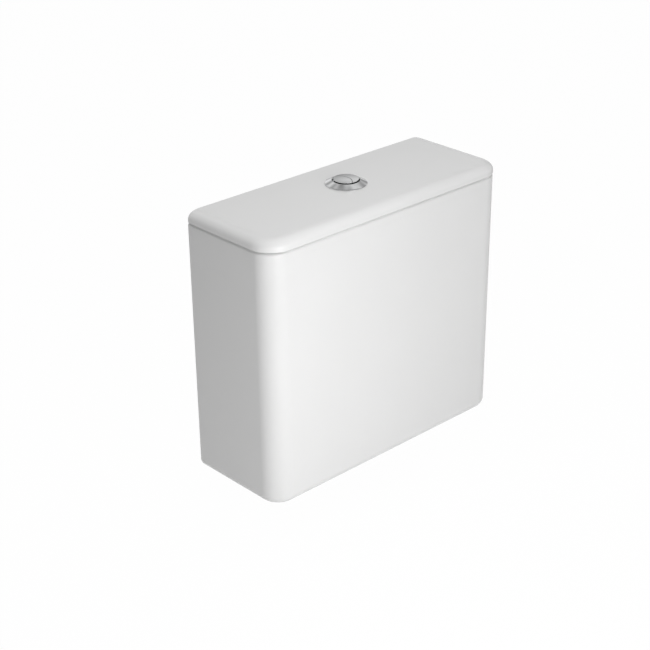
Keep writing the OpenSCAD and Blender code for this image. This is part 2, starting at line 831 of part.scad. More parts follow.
module riser() {
    color("whitesmoke") at_fill()
        ring(riser_r, riser_r - riser_wall, socket_z, head_z + head_socket - socket_z);
}

module riser_nut() {
    color("gainsboro") at_fill()
        hex_nut(riser_d + 2 * nut_wall, riser_d + 2 * socket_play, boss_z + boss_h, riser_nut_h);
}

// Head with the water ports, on top of the riser
module valve_head() {
    port_w = 6;
    color("gainsboro") at_fill() difference() {
        translate([0, 0, head_z]) cylinder(h = head_h, d = head_d);
        translate([0, 0, head_z - overlap]) cylinder(h = head_socket + overlap, r = riser_r + socket_play);
        translate([0, 0, head_z + head_socket - overlap])
            cylinder(h = head_h - 2 * head_socket + overlap, r = riser_r - riser_wall);
        for (k = [0:1]) rotate(90 * k) translate([-head_d, -port_w / 2, head_z + (head_h - port_w) / 2])
            cube([2 * head_d, port_w, port_w]);
    }
}

// Cap on the head, with the two ears of the float lever's pin
module head_cap() {
    ear_l = 8;
    cap_over = 1.5;
    color("royalblue") at_fill() difference() {
        union() {
            translate([0, 0, cap_z]) cylinder(h = cap_h, d = head_d + 2 * cap_over);
            for (side = [-1, 1])
                translate([float_pivot - ear_l / 2, (side * (lever_w + ear_t) - ear_t) / 2, cap_z + cap_h / 2])
                    cube([ear_l, ear_t, pivot_rise + (cap_h + ear_l) / 2]);
        }
        translate([float_pivot, 0, pivot_z]) rotate([90, 0, 0])
            cylinder(h = 4 * lever_w, d = pin_d + 2 * pin_play, center = true);
    }
}

module float_pin() {
    color("silver") at_fill() translate([float_pivot, 0, pivot_z]) rotate([90, 0, 0])
        cylinder(h = lever_w + 2 * (ear_t + pin_end), d = pin_d, center = true);
}

// Lever that the float rod lifts to shut the water off
module float_lever() {
    slot_l = 9;
    slot_w = float_rod_d + 2;
    past_rod = 8;
    w = lever_w - 2 * slide_gap;
    color("royalblue") at_fill() translate([float_pivot, 0, pivot_z]) rotate([0, -float_droop, 0])
        difference() {
            union() {
                rotate([90, 0, 0]) cylinder(h = w, r = pin_d / 2 + hub_wall, center = true);
                translate([-float_arm - past_rod, -w / 2, -lever_t / 2])
                    cube([float_arm + past_rod, w, lever_t]);
            }
            rotate([90, 0, 0]) cylinder(h = 2 * w, d = pin_d + 2 * pin_play, center = true);
            translate([-float_arm - slot_l / 2, -slot_w / 2, -lever_t]) cube([slot_l, slot_w, 2 * lever_t]);
        }
}

// Float: an upturned cup that slides on the riser, with a boss for the float rod
module float_cup() {
    bottom = float_top - float_h;
    guide_r = riser_r + slide_gap;
    boss_r = float_rod_d / 2 + float_boss_wall;
    color("powderblue") at_fill() difference() {
        union() {
            ring(float_d / 2, float_d / 2 - float_skin, bottom, float_h);
            ring(float_d / 2, guide_r, float_top - float_skin, float_skin);
            ring(guide_r + float_skin, guide_r, bottom, float_h);
            translate([-rod_offset, 0, float_top - float_socket - float_skin])
                cylinder(h = float_socket + float_skin, r = boss_r);
        }
        translate([-rod_offset, 0, float_top - float_socket])
            cylinder(h = float_socket + overlap, r = float_rod_d / 2 + socket_play);
    }
}

// Float rod with the two collars that take the float lever between them
module float_rod() {
    rod_z = float_top - float_socket + socket_play;
    middle = pivot_z - float_arm * sin(float_droop);
    reach = lever_t / 2 / cos(float_droop) + collar_d / 2 * tan(float_droop) + seat_gap;
    color("whitesmoke") at_fill() translate([-rod_offset, 0, 0]) {
        translate([0, 0, rod_z]) cylinder(h = middle + reach + 2 * collar_t - rod_z, d = float_rod_d);
        translate([0, 0, middle - reach - collar_t]) cylinder(h = collar_t, d = collar_d);
        translate([0, 0, middle + reach]) cylinder(h = collar_t, d = collar_d);
    }
}

// Bolts down through the floor, each with a slotted head, a plain neck and a thread below its nut
module pan_bolts() {
    slot_w = 2;
    neck_d = bolt_d - 4 * socket_play;
    thread_top = -bolt_washer_t - bolt_nut_h - overlap;
    color("silver") at_bolts() difference() {
        union() {
            translate([0, 0, -bolt_l]) cylinder(h = bolt_l + thread_top, d = bolt_d);
            translate([0, 0, thread_top - overlap])
                cylinder(h = floor_t + bolt_seal_t + 2 * overlap - thread_top, d = neck_d);
            translate([0, 0, floor_t + bolt_seal_t]) cylinder(h = bolt_head_h, d = bolt_head_d);
        }
        translate([-bolt_head_d, -slot_w / 2, floor_t + bolt_seal_t + bolt_head_h - slot_w])
            cube([2 * bolt_head_d, slot_w, 2 * slot_w]);
    }
}

module bolt_seals() {
    color("dimgray") at_bolts() difference() {
        union() {
            translate([0, 0, floor_t]) cylinder(h = bolt_seal_t, d = bolt_seal_d);
            translate([0, 0, floor_t - bolt_spigot])
                cylinder(h = bolt_spigot + overlap, d = bolt_d + 2 * hole_room - 2 * socket_play);
        }
        translate([0, 0, floor_t - bolt_spigot - overlap])
            cylinder(h = bolt_spigot + bolt_seal_t + 2 * overlap, d = bolt_d + 2 * socket_play);
    }
}

module bolt_washers() {
    color("silver") at_bolts() ring(bolt_washer_d / 2, bolt_d / 2 + socket_play, -bolt_washer_t, bolt_washer_t);
}

module bolt_nuts() {
    color("silver") at_bolts()
        hex_nut(bolt_nut_d, bolt_d + 2 * socket_play, -bolt_washer_t - bolt_nut_h, bolt_nut_h);
}

tank();
lid();
button_bezel();
lid_washer();
lid_nut();
spring_plate();
full_button();
half_button();
full_push_rod();
half_push_rod();
full_spring();
half_spring();
valve_seat();
seat_washer();
tail_nut();
pan_gasket();
valve_cage();
valve_frame();
canister_seal();
canister_foot();
canister_skirt();
half_flush_seat();
canister();
canister_cap();
overflow_tube();
half_flush_seal();
full_lever();
half_lever();
lever_pins();
fill_base();
fill_washer();
fill_nut();
inlet_filter();
riser();
riser_nut();
valve_head();
head_cap();
float_cup();
float_rod();
float_lever();
float_pin();
pan_bolts();
bolt_seals();
bolt_washers();
bolt_nuts();
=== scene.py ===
# Close-coupled toilet cistern: white glazed china tank and lid, chrome push button, flush and fill valves.
# The file follows the cistern as it is put together, from the bare tank to the button in the lid.
import json
import math

import bmesh
import bpy
from mathutils import Matrix, Vector


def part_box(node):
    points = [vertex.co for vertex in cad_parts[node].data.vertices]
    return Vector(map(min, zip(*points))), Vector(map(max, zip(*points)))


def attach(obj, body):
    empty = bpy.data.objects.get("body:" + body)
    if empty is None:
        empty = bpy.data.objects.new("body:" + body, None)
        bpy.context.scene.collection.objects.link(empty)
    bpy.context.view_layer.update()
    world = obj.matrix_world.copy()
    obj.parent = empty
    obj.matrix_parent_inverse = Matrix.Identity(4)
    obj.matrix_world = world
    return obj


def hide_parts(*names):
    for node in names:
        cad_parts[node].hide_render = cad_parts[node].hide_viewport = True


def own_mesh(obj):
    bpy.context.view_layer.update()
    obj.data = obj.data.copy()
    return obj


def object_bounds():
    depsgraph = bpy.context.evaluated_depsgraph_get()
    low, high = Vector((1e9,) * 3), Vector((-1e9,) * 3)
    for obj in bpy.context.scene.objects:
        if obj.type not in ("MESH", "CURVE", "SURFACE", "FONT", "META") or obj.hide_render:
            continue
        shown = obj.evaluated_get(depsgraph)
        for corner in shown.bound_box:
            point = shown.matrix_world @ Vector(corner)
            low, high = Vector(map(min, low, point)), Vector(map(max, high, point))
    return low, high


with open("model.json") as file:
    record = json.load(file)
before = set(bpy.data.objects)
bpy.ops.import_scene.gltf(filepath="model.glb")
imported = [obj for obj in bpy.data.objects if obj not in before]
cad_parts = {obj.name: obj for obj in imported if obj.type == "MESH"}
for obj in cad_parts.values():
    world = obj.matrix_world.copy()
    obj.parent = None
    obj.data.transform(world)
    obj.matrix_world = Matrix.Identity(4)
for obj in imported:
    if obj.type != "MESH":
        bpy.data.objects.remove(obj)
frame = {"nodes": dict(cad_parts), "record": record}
cad_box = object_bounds()
nodes = frame["nodes"]
record = frame["record"]
body_of = {node: body for body, names in record["behaviour"]["bodies"].items() for node in names}
MM = 0.001

# Tank
# One slip-cast shell of vitreous china, glazed white inside and out. The front corners are drawn round, the
# back is flat to the wall, and the floor is pierced for the outlet, the two bolts and the water inlet.
tank_low, tank_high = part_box("tank")
rim_z = tank_high.z
front_y = tank_low.y
back_y = tank_high.y
rim_half = tank_high.x
base_half = 184.5 * MM
wall = 9 * MM
floor_t = 12 * MM
front_corner_r = 25.5 * MM
back_corner_r = 3 * MM
inner_front_r = 25 * MM
inner_back_r = 8 * MM
base_edge_r = 11 * MM
rim_edge_r = 3 * MM
lip_r = 2 * MM
floor_fillet_r = 12 * MM
rim_crown = 0.05 * MM
outlet_hole_r = 32 * MM
bolt_hole_r = 6 * MM
inlet_hole_r = 12.4 * MM
bolt_x = 75 * MM
inlet_x = -125 * MM
front_steps = 18
back_steps = 6
round_steps = 96
cut_sliver = 0.0005 * MM


def plan_ring(bm, half, front, back, front_r, back_r, z):
    """Closed ring of edges at one level: a rectangle whose two front and two back corners are rounded."""
    older = set(bm.edges)
    places = ((-half, front), (half, front), (half, back), (-half, back))
    corners = [bm.verts.new((x, y, z)) for x, y in places]
    bm.faces.new(corners)
    for pair, radius, steps in ((corners[:2], front_r, front_steps), (corners[2:], back_r, back_steps)):
        bmesh.ops.bevel(bm, geom=pair, offset=radius, affect="VERTICES", segments=steps, profile=0.5,
                        material=-1)
    ring = [edge for edge in bm.edges if edge not in older]
    plates = list({face for edge in ring for face in edge.link_faces})
    bmesh.ops.delete(bm, geom=plates, context="FACES_ONLY")
    return ring


def half_at(z):
    """Half of the tank's width at a level; the ends lean out a little towards the rim."""
    return base_half + (rim_half - base_half) * z / rim_z


def outer_ring(bm, z, inset, back_inset):
    """Ring of the tank's outside at a level, drawn in by inset and at the back by back_inset."""
    return plan_ring(bm, half_at(z) - inset, front_y + inset, back_y - back_inset, front_corner_r - inset,
                     back_corner_r, z)


def inner_ring(bm, z, inset, level=None):
    """Ring of the hollow, drawn in from the tank's outer faces as they are at z, and put at a level."""
    return plan_ring(bm, half_at(z) - inset, front_y + inset, back_y - inset, inner_front_r + wall - inset,
                     inner_back_r, z if level is None else level)


def quarter(steps):
    """Sine and cosine pairs from 0 to 90 degrees, for edges that are rolled over in small steps."""
    angles = [math.pi / 2 * i / steps for i in range(steps + 1)]
    return [(math.sin(a), math.cos(a)) for a in angles]


def skin(bm, rings):
    """Joins a run of rings into one closed shell, capped at both ends."""
    for lower, upper in zip(rings, rings[1:]):
        bmesh.ops.bridge_loops(bm, edges=lower + upper)
    for end in (rings[0], rings[-1]):
        bmesh.ops.edgeloop_fill(bm, edges=end)


def noise(tree, place, scale, detail):
    """Noise texture on a coordinate socket; scale is in features a metre."""
    node = tree.nodes.new("ShaderNodeTexNoise")
    node.inputs["Scale"].default_value = scale
    node.inputs["Detail"].default_value = detail
    tree.links.new(place, node.inputs["Vector"])
    return node


def math_node(tree, operation, a, b):
    """Math node on two sockets or numbers."""
    node = tree.nodes.new("ShaderNodeMath")
    node.operation = operation
    for socket, value in zip(node.inputs, (a, b)):
        if isinstance(value, (int, float)):
            socket.default_value = value
        else:
            tree.links.new(value, socket)
    return node.outputs[0]


def map_range(tree, value, from_span, to_span):
    """Map Range node that takes a socket from one span of values to another."""
    node = tree.nodes.new("ShaderNodeMapRange")
    node.inputs["From Min"].default_value, node.inputs["From Max"].default_value = from_span
    node.inputs["To Min"].default_value, node.inputs["To Max"].default_value = to_span
    tree.links.new(value, node.inputs["Value"])
    return node


def uneven_skin_group():
    """Shader group of an uneven skin: Tone drifts from 0 to 1 over the piece, Height adds a fine grain."""
    group = bpy.data.node_groups.new("uneven_skin", "ShaderNodeTree")
    for label, value in (("Drift", 20), ("Grain", 900), ("Grain Share", 0.1)):
        socket = group.interface.new_socket(label, in_out="INPUT", socket_type="NodeSocketFloat")
        socket.default_value = value
    for label in ("Tone", "Height"):
        group.interface.new_socket(label, in_out="OUTPUT", socket_type="NodeSocketFloat")
    start = group.nodes.new("NodeGroupInput").outputs
    end = group.nodes.new("NodeGroupOutput").inputs
    place = group.nodes.new("ShaderNodeTexCoord").outputs["Object"]
    drift = noise(group, place, 20, 2)
    grain = noise(group, place, 900, 3)
    group.links.new(start["Drift"], drift.inputs["Scale"])
    group.links.new(start["Grain"], grain.inputs["Scale"])
    group.links.new(drift.outputs["Fac"], end["Tone"])
    fine = math_node(group, "MULTIPLY", grain.outputs["Fac"], start["Grain Share"])
    group.links.new(math_node(group, "ADD", drift.outputs["Fac"], fine), end["Height"])
    return group


uneven_skin = uneven_skin_group()


def finish(name, colours, roughness, bump, drift, grain, share, metallic=0.0, coat=0.0):
    """Material whose colour and gloss drift over the piece between two values, with a fine relief."""
    material = bpy.data.materials.new(name)
    material.use_nodes = True
    tree = material.node_tree
    shader = tree.nodes["Principled BSDF"]
    skin_node = tree.nodes.new("ShaderNodeGroup")
    skin_node.node_tree = uneven_skin
    for label, value in (("Drift", drift), ("Grain", grain), ("Grain Share", share)):
        skin_node.inputs[label].default_value = value
    tone = skin_node.outputs["Tone"]
    mix = tree.nodes.new("ShaderNodeMix")
    mix.data_type = "RGBA"
    # The Mix node repeats its socket names for each data type: 6 and 7 are its colours, output 2 their mix.
    tree.links.new(tone, mix.inputs[0])
    mix.inputs[6].default_value = (*colours[0], 1)
    mix.inputs[7].default_value = (*colours[1], 1)
    tree.links.new(mix.outputs[2], shader.inputs["Base Color"])
    gloss = map_range(tree, tone, (0, 1), roughness)
    tree.links.new(gloss.outputs["Result"], shader.inputs["Roughness"])
    relief = tree.nodes.new("ShaderNodeBump")
    relief.inputs["Strength"].default_value = bump
    relief.inputs["Distance"].default_value = 0.2 * MM
    tree.links.new(skin_node.outputs["Height"], relief.inputs["Height"])
    tree.links.new(relief.outputs["Normal"], shader.inputs["Normal"])
    shader.inputs["Metallic"].default_value = metallic
    shader.inputs["Coat Weight"].default_value = coat
    return material


china = finish("white_glaze", ((0.86, 0.86, 0.857), (0.835, 0.835, 0.833)), (0.10, 0.16), 0.1, 9, 500, 0.08)


def piece_from(bm, name, node, material, sharp_deg=40):
    """Makes a bmesh a smooth piece that stands for a CAD node and rides on its body; the node is hidden."""
    bmesh.ops.recalc_face_normals(bm, faces=bm.faces)
    for face in bm.faces:
        face.smooth = True
    mesh = bpy.data.meshes.new(name)
    bm.to_mesh(mesh)
    bm.free()
    mesh.set_sharp_from_angle(angle=math.radians(sharp_deg))
    mesh.materials.append(material)
    piece = bpy.data.objects.new(name, mesh)
    bpy.context.scene.collection.objects.link(piece)
    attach(piece, body_of[node])
    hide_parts(node)
    return piece


def even_shading(piece):
    """Lets the large faces set the normals along their rolled edges."""
    piece.modifiers.new("even_shading", "WEIGHTED_NORMAL").keep_sharp = True


def drop_slivers(bm, shortest):
    """Takes out the edges without length and faces without area that a cut or a bevel leaves."""
    bmesh.ops.dissolve_degenerate(bm, edges=bm.edges, dist=shortest)


def carve(piece, cutter_bm, operation="DIFFERENCE", sharp_deg=40):
    """Cuts a piece with a closed bmesh, or adds it, and keeps the result as the piece's own mesh."""
    bmesh.ops.recalc_face_normals(cutter_bm, faces=cutter_bm.faces)
    for face in cutter_bm.faces:
        face.smooth = True
    mesh = bpy.data.meshes.new("cutter")
    cutter_bm.to_mesh(mesh)
    cutter_bm.free()
    mesh.materials.append(piece.data.materials[0])
    cutter = bpy.data.objects.new("cutter", mesh)
    bpy.context.scene.collection.objects.link(cutter)
    cut = piece.modifiers.new("cut", "BOOLEAN")
    cut.operation = operation
    cut.solver = "EXACT"
    cut.object = cutter
    graph = bpy.context.evaluated_depsgraph_get()
    carved = bpy.data.meshes.new_from_object(piece.evaluated_get(graph))
    piece.modifiers.remove(cut)
    piece.data = carved
    carved_bm = bmesh.new()
    carved_bm.from_mesh(carved)
    drop_slivers(carved_bm, cut_sliver)
    carved_bm.to_mesh(carved)
    carved_bm.free()
    carved.set_sharp_from_angle(angle=math.radians(sharp_deg))
    bpy.data.objects.remove(cutter)
    bpy.data.meshes.remove(mesh)


def upright_drums(drums):
    """Closed bmesh of upright cylinders, each given as x, radius, low and high."""
    bm = bmesh.new()
    for x, radius, low, high in drums:
        bmesh.ops.create_cone(bm, cap_ends=True, segments=round_steps, radius1=radius, radius2=radius,
                              depth=high - low, matrix=Matrix.Translation((x, 0, (low + high) / 2)))
    return bm


tank_bm = bmesh.new()
rolled_base = [outer_ring(tank_bm, base_edge_r * (1 - c), base_edge_r * (1 - s), back_corner_r * (1 - s))
               for s, c in quarter(10)]
rolled_rim = [outer_ring(tank_bm, rim_z - rim_edge_r * (1 - s), rim_edge_r * (1 - c), 0)
              for s, c in quarter(6)]
rolled_lip = [inner_ring(tank_bm, rim_z, wall - lip_r * (1 - s), rim_z - rim_crown - lip_r * (1 - c))
              for s, c in quarter(5)]
floor_fillet = [inner_ring(tank_bm, floor_t + floor_fillet_r * (1 - s), wall + floor_fillet_r * (1 - c))
                for s, c in quarter(8)]
skin(tank_bm, rolled_base + rolled_rim + rolled_lip + floor_fillet)
tank = piece_from(tank_bm, "china_tank", "tank", china)
carve(tank, upright_drums([(x, radius, -floor_t, 2 * floor_t) for x, radius in (
    (0, outlet_hole_r), (inlet_x, inlet_hole_r), (-bolt_x, bolt_hole_r), (bolt_x, bolt_hole_r))]))
even_shading(tank)

# Bolts to the pan
# Two slotted steel bolts, dropped through rubber seals in the floor and drawn up underneath by washers and
# hexagon nuts.
steel = finish("turned_steel", ((0.60, 0.59, 0.57), (0.50, 0.49, 0.48)), (0.24, 0.38), 0.12, 90, 2600, 0.5,
               metallic=1.0)
rubber = finish("black_rubber", ((0.020, 0.020, 0.021), (0.042, 0.042, 0.042)), (0.55, 0.8), 0.3, 70, 1800,
                0.4)
bolt_low, bolt_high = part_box("pan_bolts")
bolt_r = 4 * MM
bolt_neck_r = 3.8 * MM
bolt_thread_top = -9.5 * MM
bolt_head_r = 9 * MM
bolt_head_z = 17 * MM
bolt_pitch = 1.25 * MM
slot_w = 1.8 * MM
slot_deep = 2 * MM
bolt_nut_r = 7.5 * MM
bolt_nut_hole_r = 4.1 * MM
nut_sharp_deg = 25
same_place = 0.001 * MM
thread_seam = 0.002 * MM
bevel_sliver = 0.0002 * MM
mould_merge = 0.05 * MM
mould_flat_deg = 0.5
mould_corner_deg = 35


def turned(bm, outline, x=0.0, steps=72):
    """Spins an outline of radius and height pairs about an upright axis; it closes itself off the axis."""
    verts = [bm.verts.new((x + r, 0, z)) for r, z in outline]
    pairs = list(zip(verts, verts[1:]))
    if outline[0][0] > 0 or outline[-1][0] > 0:
        pairs.append((verts[-1], verts[0]))
    edges = [bm.edges.new(pair) for pair in pairs]
    bmesh.ops.spin(bm, geom=verts + edges, cent=(x, 0, 0), axis=(0, 0, 1), angle=2 * math.pi, steps=steps,
                   use_merge=True)
    bmesh.ops.remove_doubles(bm, verts=bm.verts, dist=same_place)


def thread_on(radius, pitch, low, high, x=0.0, steps=36, bore=0.0):
    """Closed bmesh of an upright screw thread between two levels, solid or with a plain bore."""
    depth = 0.55 * pitch
    turns = math.ceil((high - low) / pitch) + 3
    start = low - 1.5 * pitch
    bm = bmesh.new()
    profile = ((radius, 0), (radius, 0.12), (radius - depth, 0.45), (radius - depth, 0.6), (radius, 1))
    verts = [bm.verts.new((r, 0, start + share * pitch)) for r, share in profile]
    edges = [bm.edges.new(pair) for pair in zip(verts, verts[1:])]
    bmesh.ops.spin(bm, geom=verts + edges, cent=(0, 0, 0), axis=(0, 0, 1), dvec=(0, 0, pitch / steps),
                   angle=2 * math.pi * turns, steps=steps * turns)
    bmesh.ops.remove_doubles(bm, verts=bm.verts, dist=thread_seam)
    for level, way in ((low, -1), (high, 1)):
        bmesh.ops.bisect_plane(bm, geom=bm.verts[:] + bm.edges[:] + bm.faces[:], plane_co=(0, 0, level),
                               plane_no=(0, 0, way), clear_outer=True)
        rim = [edge for edge in bm.edges
               if edge.is_boundary and all(abs(v.co.z - level) < same_place for v in edge.verts)]
        if bore:
            made = bmesh.ops.create_circle(bm, segments=steps, radius=bore,
                                           matrix=Matrix.Translation((0, 0, level)))["verts"]
            hole = list({edge for vert in made for edge in vert.link_edges})
            bmesh.ops.triangle_fill(bm, edges=rim + hole, use_beauty=True)
        else:
            bmesh.ops.edgeloop_fill(bm, edges=rim)
    if bore:
        bmesh.ops.bridge_loops(bm, edges=[edge for edge in bm.edges if edge.is_boundary])
    bmesh.ops.translate(bm, verts=bm.verts, vec=(x, 0, 0))
    return bm


def box_at(bm, low, high):
    """Adds a closed block between two corners."""
    low, high = Vector(low), Vector(high)
    place = Matrix.Translation((low + high) / 2) @ Matrix.Diagonal((*(high - low), 1))
    bmesh.ops.create_cube(bm, size=1, matrix=place)


bolts_bm = bmesh.new()
for x in (-bolt_x, bolt_x):
    turned(bolts_bm, [(0, bolt_high.z), (5.2 * MM, bolt_high.z), (7.4 * MM, bolt_high.z - 0.6 * MM),
                      (8.6 * MM, bolt_high.z - 1.9 * MM), (bolt_head_r, bolt_head_z + 1.2 * MM),
                      (bolt_head_r, bolt_head_z + 0.3 * MM), (bolt_head_r - 0.3 * MM, bolt_head_z),
                      (bolt_neck_r, bolt_head_z), (bolt_neck_r, bolt_thread_top - 2 * MM),
                      (0, bolt_thread_top - 2 * MM)], x)
bolts = piece_from(bolts_bm, "slotted_bolts", "pan_bolts", steel)
slots_bm = bmesh.new()
for x in (-bolt_x, bolt_x):
    box_at(slots_bm, (x - slot_w / 2, -2 * bolt_head_r, bolt_high.z - slot_deep),
           (x + slot_w / 2, 2 * bolt_head_r, bolt_high.z + slot_deep))
carve(bolts, slots_bm)
for x in (-bolt_x, bolt_x):
    carve(bolts, thread_on(bolt_r, bolt_pitch, bolt_low.z, bolt_thread_top, x), "UNION")


def round_corners(bm, edge, segments, corner_deg):
    """Rounds off the edges at which two faces meet at more than an angle."""
    corners = [e for e in bm.edges
               if len(e.link_faces) == 2 and e.calc_face_angle() > math.radians(corner_deg)]
    bmesh.ops.bevel(bm, geom=corners, offset=edge, affect="EDGES", segments=segments, profile=0.5,
                    material=-1, clamp_overlap=True)
    drop_slivers(bm, bevel_sliver)


def moulded(node, name, edge, material, segments=2, sharp_deg=40):
    """Copy of a CAD node with its corners rounded off, as a mould or a press leaves them."""
    bm = bmesh.new()
    bm.from_mesh(nodes[node].data)
    bmesh.ops.remove_doubles(bm, verts=bm.verts, dist=mould_merge)
    bmesh.ops.dissolve_limit(bm, angle_limit=math.radians(mould_flat_deg), verts=bm.verts, edges=bm.edges)
    round_corners(bm, edge, segments, mould_corner_deg)
    piece = piece_from(bm, name, node, material, sharp_deg)
    even_shading(piece)
    return piece


moulded("bolt_seals", "bolt_cone_seals", 0.8 * MM, rubber, 3)
moulded("bolt_washers", "flat_washers", 0.25 * MM, steel)


def hex_nuts(node, name, corner_r, hole_r, low, high, places, material):
    """Hexagon nuts with their corners turned off at 30 degrees and a small countersink at each end."""
    flat_r = corner_r * math.cos(math.pi / 6)
    chamfer = (corner_r - flat_r) * math.tan(math.pi / 6)
    past_r = corner_r * 1.05
    past_h = chamfer * 1.3
    sink = 0.4 * MM
    bm = bmesh.new()
    for x in places:
        turned(bm, [(hole_r + sink, low), (flat_r, low), (past_r, low + past_h), (past_r, high - past_h),
                    (flat_r, high), (hole_r + sink, high), (hole_r, high - sink), (hole_r, low + sink)], x)
    piece = piece_from(bm, name, node, material, nut_sharp_deg)
    bars = bmesh.new()
    for x in places:
        bmesh.ops.create_cone(bars, cap_ends=True, segments=6, radius1=corner_r, radius2=corner_r,
                              depth=2 * (high - low), matrix=Matrix.Translation((x, 0, (low + high) / 2)))
    carve(piece, bars, "INTERSECT", nut_sharp_deg)


nut_low, nut_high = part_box("bolt_nuts")
hex_nuts("bolt_nuts", "hexagon_nuts", bolt_nut_r, bolt_nut_hole_r, nut_low.z, nut_high.z, (-bolt_x, bolt_x),
         steel)

# Flush valve seat
# A white moulded flange with a round sealing lip, its threaded tail through the tank's outlet hole, with a
# rubber washer inside, a large ring nut outside and a soft gasket that is squeezed between tank and pan.
seat_low, seat_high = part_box("valve_seat")
seat_floor = floor_t + 3 * MM
tail_r = 30 * MM
tail_pitch = 3 * MM
tail_bore_r = 27.5 * MM


def plastic(name, light, dark, roughness=(0.34, 0.44), bump=0.16):
    """Moulded plastic with a fine, even grain."""
    return finish(name, (light, dark), roughness, bump, 35, 2600, 0.5)


white_plastic = plastic("white_moulding", (0.80, 0.80, 0.78), (0.75, 0.75, 0.73))
grey_plastic = plastic("grey_moulding", (0.47, 0.49, 0.50), (0.42, 0.44, 0.45), (0.38, 0.48), 0.18)
seat_bm = bmesh.new()
turned(seat_bm, [(r * MM, z) for r, z in (
    (25.5, seat_low.z + 0.8 * MM), (26.3, seat_low.z), (28, seat_low.z), (28.4, seat_low.z + 0.4 * MM),
    (28.4, seat_floor - 1 * MM), (28.9, seat_floor), (43.4, seat_floor), (44, seat_floor + 0.6 * MM),
    (44, seat_floor + 4.2 * MM), (43.2, seat_floor + 5 * MM), (31.8, seat_floor + 5 * MM),
    (31, seat_floor + 5.8 * MM), (31, seat_high.z - 1 * MM), (30.4, seat_high.z - 0.2 * MM),
    (29.6, seat_high.z), (26.5, seat_high.z - 0.3 * MM), (25.5, seat_high.z - 1.4 * MM))],
    steps=round_steps)
seat = piece_from(seat_bm, "threaded_valve_seat", "valve_seat", white_plastic)
carve(seat, thread_on(tail_r, tail_pitch, seat_low.z + 0.6 * MM, seat_floor - 0.4 * MM, steps=round_steps,
                      bore=tail_bore_r), "UNION")
moulded("seat_washer", "seat_ring_washer", 0.5 * MM, rubber, 3)
moulded("tail_nut", "ring_nut", 0.6 * MM, grey_plastic)
moulded("pan_gasket", "cone_gasket", 2 * MM, rubber, 5, 60)

# Flush valve cage and frame
# A grey moulded cage clips over the seat and guides the canister. The frame on its deck carries the two lever
# pins in its side plates.
moulded("valve_cage", "ribbed_cage", 0.5 * MM, grey_plastic)
moulded("valve_frame", "lever_frame", 0.5 * MM, grey_plastic)
moulded("lever_pins", "steel_lever_pins", 0.3 * MM, steel)

# Canister and overflow tube
# Pale blue mouldings clipped on top of each other: foot, lower tube, half-flush seat, windowed upper tube and
# cap with its lifting hook. The overflow tube slides inside and carries the half-flush disc.
pale_plastic = finish("pale_moulding", ((0.60, 0.70, 0.76), (0.54, 0.65, 0.71)), (0.26, 0.36), 0.12, 30,
                      2400, 0.4, coat=0.15)
moulded("canister_seal", "outlet_seal", 0.7 * MM, rubber, 3)
moulded("canister_foot", "canister_foot_ring", 0.6 * MM, pale_plastic)
moulded("canister_skirt", "canister_lower_tube", 0.3 * MM, pale_plastic)
moulded("half_flush_seat", "half_flush_ring", 0.5 * MM, pale_plastic)
moulded("canister", "canister_upper_tube", 0.3 * MM, pale_plastic)
moulded("canister_cap", "canister_hook_cap", 0.5 * MM, pale_plastic)
moulded("half_flush_seal", "half_flush_seal_ring", 0.7 * MM, rubber, 3)
moulded("overflow_tube", "overflow_standpipe", 0.4 * MM, pale_plastic)

# Flush levers
# Two short moulded rockers on the pins, blue for the full flush and green for the half flush. A push rod
# presses the inner end and the outer end lifts a hook.
blue_plastic = plastic("blue_moulding", (0.035, 0.13, 0.42), (0.028, 0.11, 0.36))
green_plastic = plastic("green_moulding", (0.05, 0.33, 0.16), (0.04, 0.28, 0.13))
moulded("full_lever", "full_flush_rocker", 0.7 * MM, blue_plastic, 3)
moulded("half_lever", "half_flush_rocker", 0.7 * MM, green_plastic, 3)

# Fill valve
# A bottom-entry valve: white foot with its threaded inlet through the floor, hexagon back nut and orange
# filter, a riser held by a second nut, and the grey head with its blue cap.
orange_plastic = plastic("orange_moulding", (0.72, 0.25, 0.03), (0.64, 0.21, 0.02), (0.36, 0.46))
inlet_r = 10.4 * MM
inlet_pitch = 1.8 * MM
inlet_core_r = 9.3 * MM
inlet_steps = 60
back_nut_r = 18.4 * MM
back_nut_hole_r = 10.5 * MM
riser_nut_r = 16 * MM
riser_nut_hole_r = 8.1 * MM
inlet_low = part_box("fill_base")[0].z
back_nut_low, back_nut_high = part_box("fill_nut")
thread_top = back_nut_low.z - 0.4 * MM
foot = moulded("fill_base", "fill_valve_foot", 0.4 * MM, white_plastic)
bared_bm = bmesh.new()
turned(bared_bm, [(inlet_core_r, inlet_low - 1 * MM), (1.2 * inlet_r, inlet_low - 1 * MM),
                  (1.2 * inlet_r, thread_top), (inlet_core_r, thread_top)], inlet_x)
carve(foot, bared_bm)
carve(foot, thread_on(inlet_r, inlet_pitch, inlet_low + 0.8 * MM, thread_top, inlet_x, inlet_steps,
                      0.9 * inlet_core_r), "UNION")
moulded("fill_washer", "inlet_washer", 0.5 * MM, rubber, 3)
hex_nuts("fill_nut", "inlet_back_nut", back_nut_r, back_nut_hole_r, back_nut_low.z, back_nut_high.z,
         (inlet_x,), grey_plastic)
moulded("inlet_filter", "inlet_sieve", 0.3 * MM, orange_plastic)
moulded("riser", "riser_pipe", 0.4 * MM, white_plastic)
riser_nut_low, riser_nut_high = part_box("riser_nut")
hex_nuts("riser_nut", "riser_clamp_nut", riser_nut_r, riser_nut_hole_r, riser_nut_low.z, riser_nut_high.z,
         (inlet_x,), grey_plastic)
moulded("valve_head", "fill_valve_head", 1 * MM, grey_plastic, 3)
moulded("head_cap", "fill_valve_cap", 0.6 * MM, blue_plastic, 3)

